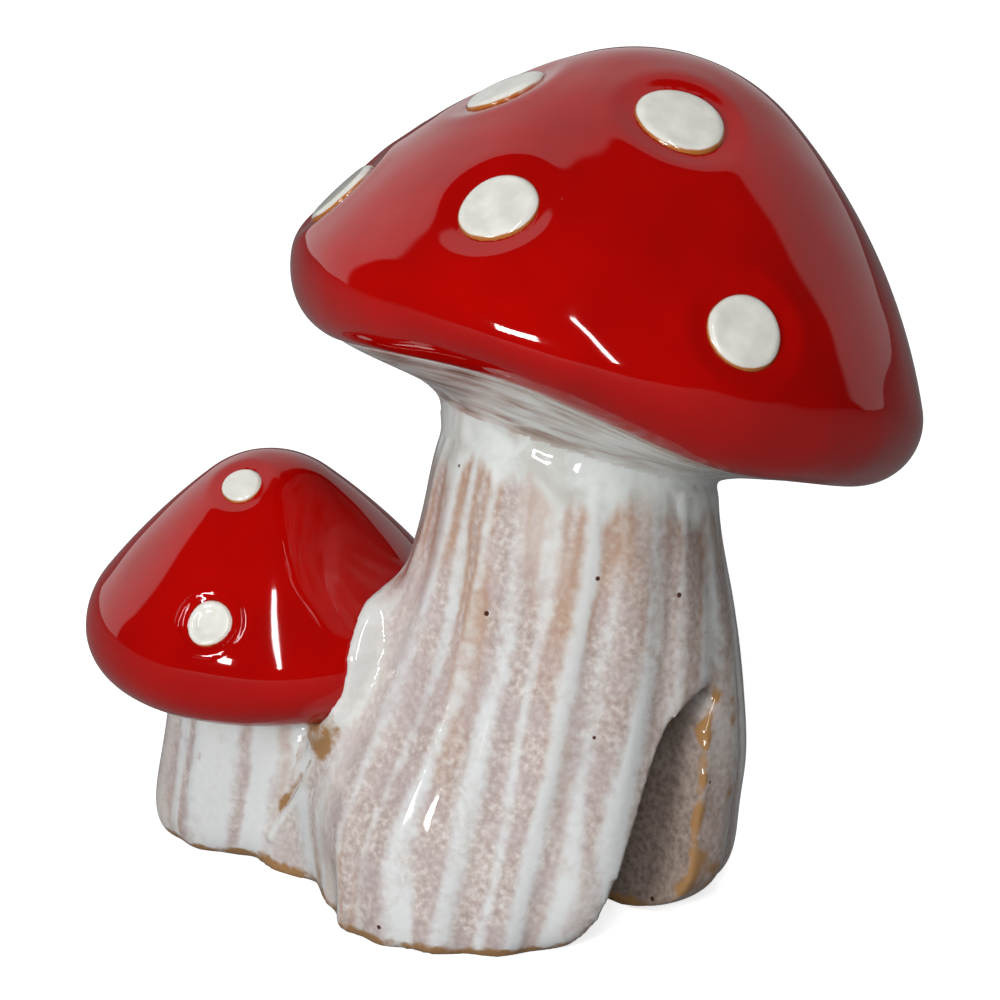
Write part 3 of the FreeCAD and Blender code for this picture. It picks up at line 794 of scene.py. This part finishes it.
def make_uneven(skin):
    """Waves the rim of the large underside with its cap, and gives the stems soft dents made by hand."""
    back = cap_matrix(CAPS["large"]).inverted()
    tilt = cap_matrix(CAPS["large"]).to_3x3()
    for vertex in skin.verts:
        local = back @ vertex.co
        if local.z > UNDER_CAP:
            out = smoothstep(*UNDERSIDE_WAVE, math.hypot(local.x, local.y))
            vertex.co += tilt @ Vector((0, 0, rim_wave(local) * out))
        at = vertex.co / FLOW_LENGTH
        if vertex.co.z > 0.3 * MM and local.z < UNDER_CAP:
            # Long dents that run up the stem, then rounder ones
            lift = noise.noise(Vector((at.x * 2.6, at.y * 2.6, at.z * 0.5)))
            lift += 0.8 * noise.noise(Vector((at.x * 1.8, at.y * 1.8, at.z * 1.7)) + Vector((3, 5, 7)))
            vertex.co += vertex.normal * (lift * DENT_DEPTH_MM * MM)
        vertex.co.z = max(0.0, vertex.co.z)


def make_clay():
    """One soft glazed skin over all the pale clay, parted where one CAD part gives way to the next."""
    glazes = {
        "large_stem": ("large_stem_streaked_glaze", TRUNK_STREAKS),
        "large_neck_collar": ("collar_white_glaze", COLLAR_WHITE),
        "large_cap_underside": ("underside_white_glaze", UNDERSIDE_WHITE),
        "small_stem": ("small_stem_streaked_glaze", SMALL_STREAKS),
        "small_cap_underside": ("small_underside_white_glaze", UNDERSIDE_WHITE),
        "joining_web": ("web_white_glaze", WEB_WHITE),
    }
    skin = clay_skin(glazes)
    graph = bpy.context.evaluated_depsgraph_get()
    trees = {node: BVHTree.FromObject(NODES[node], graph) for node in glazes}
    settle_joint(skin, trees)
    mark_bare(skin)
    mark_band(skin)
    mark_slot_shade(skin)
    red = bmesh.new()
    red.from_mesh(NODES["small_cap"].data)
    dress_joint(skin, trees["joining_web"], BVHTree.FromBMesh(red))
    red.free()
    make_uneven(skin)
    owner = skin.faces.layers.int.new("owner")
    for face in skin.faces:
        middle = face.calc_center_median()
        gaps = [tree.find_nearest(middle)[3] for tree in trees.values()]
        face[owner] = gaps.index(min(gaps))
    for index, (node, (slot_name, material)) in enumerate(glazes.items()):
        form = skin.copy()
        mine = form.faces.layers.int["owner"]
        bmesh.ops.delete(form, geom=[face for face in form.faces if face[mine] != index], context="FACES")
        close_inside(form)
        if node.endswith("_cap_underside"):
            mark_disc(form, cap_matrix(CAPS[node.split("_")[0]]).inverted())
        elif node == "small_stem":
            mark_flow(form, SMALL_FOOT, SMALL_NECK)
        else:
            mark_flow(form, TRUNK_FOOT, TRUNK_NECK)
        piece(f"{node}_glazed", form, material, node)
    skin.free()


def make_floor():
    form = bmesh.new()
    bmesh.ops.create_grid(form, x_segments=1, y_segments=1, size=FLOOR_SIZE)
    mesh = bpy.data.meshes.new("floor")
    form.to_mesh(mesh)
    form.free()
    mesh.materials.append(floor_material())
    link(bpy.data.objects.new("floor", mesh))


def make_world():
    """A bright room behind the ornament, and a dark one in front of it."""
    world = bpy.data.worlds.new("studio")
    bpy.context.scene.world = world
    world.use_nodes = True
    tree = world.node_tree
    tree.nodes.clear()
    path = add(tree, "ShaderNodeLightPath")
    direction = add(tree, "ShaderNodeTexCoord").outputs["Generated"]
    behind = add(tree, "ShaderNodeVectorMath", {"operation": "DOT_PRODUCT"}, _0=direction, _1=tuple(AWAY))
    beside = add(tree, "ShaderNodeVectorMath", {"operation": "DOT_PRODUCT"}, _0=direction, _1=tuple(-RIGHT))
    wall = share(tree, behind.outputs["Value"], 0.28, 0.33)
    # The wall behind is brighter towards the left, and the room in front is nearly dark
    right_end, added_to_left, dark_room = 0.48, 0.4, 0.03
    leftward = share(tree, beside.outputs["Value"], -0.5, 0.7)
    level = plus(tree, times(tree, leftward, added_to_left), right_end)
    strength = plus(tree, times(tree, wall, level), dark_room)
    light = add(tree, "ShaderNodeBackground", Color=WHITE, Strength=strength)
    backdrop = add(tree, "ShaderNodeBackground", Color=WHITE, Strength=1.0)
    mix = add(tree, "ShaderNodeMixShader", Fac=path.outputs["Is Camera Ray"],
              _1=light.outputs["Background"], _2=backdrop.outputs["Background"])
    add(tree, "ShaderNodeOutputWorld", Surface=mix.outputs["Shader"])


# The picture and the ornament

make_camera()
make_world()
make_floor()
softbox("left_window", bearing=-32, elevation=18, width=0.32, height=0.13, watts=6.6)
softbox("right_window", bearing=4, elevation=39, width=0.045, height=0.9, watts=5.2)

bpy.context.scene.view_settings.view_transform = "Standard"

RED = red_glaze()
SPOT_WHITE = spot_glaze()
UNDERSIDE_WHITE = underside_glaze()
COLLAR_WHITE = collar_glaze()
TRUNK_STREAKS = streaked_glaze("fired_streaked_trunk_glaze", tan_from=1.7, count=27.0, run_level=0.0)
SMALL_STREAKS = streaked_glaze("fired_streaked_stem_glaze", tan_from=0.4, count=10.0, run_level=-0.5)
WEB_WHITE = streaked_glaze("fired_joint_white_glaze", tan_from=1.7, count=27.0, run_level=0.0)

for cap_name in CAPS:
    make_cap(cap_name, RED)
    for pad_index in range(len(CAPS[cap_name]["pads"])):
        make_pad(cap_name, pad_index, SPOT_WHITE)
make_clay()
